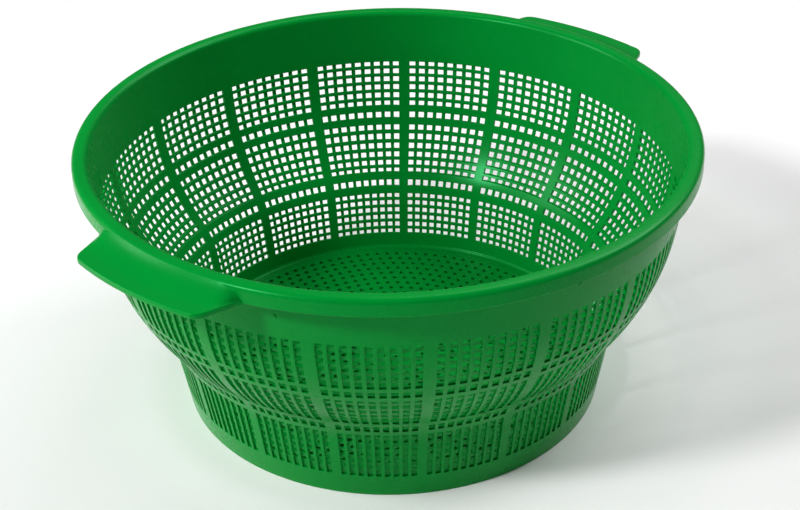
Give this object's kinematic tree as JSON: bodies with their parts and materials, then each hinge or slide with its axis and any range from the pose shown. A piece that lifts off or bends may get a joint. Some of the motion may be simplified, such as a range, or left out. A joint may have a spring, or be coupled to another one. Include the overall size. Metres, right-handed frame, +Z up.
{
  "type": "colander",
  "caption": "Round moulded plastic colander with an openwork grid side, a rolled rim, two wing handles and a drilled floor in a plain foot ring, for draining and rinsing food.",
  "frame": {"origin": "middle of the foot ring's underside, which is the middle of the bottom of the bounding box", "axes": "+Z up out of the bowl; the two wing handles lie on -X and +X; +Y is the remaining horizontal direction"},
  "size_m": [0.3786, 0.34, 0.1553],
  "materials": {
    "green_plastic": "satin"
  },
  "bodies": {
    "root": {"rim": "green_plastic", "collar": "green_plastic", "upper_mesh": "green_plastic", "upper_row_band": "green_plastic", "middle_mesh": "green_plastic", "lower_row_band": "green_plastic", "lower_mesh": "green_plastic", "foot": "green_plastic", "floor": "green_plastic", "left_handle": "green_plastic", "right_handle": "green_plastic"}
  },
  "joints": []
}
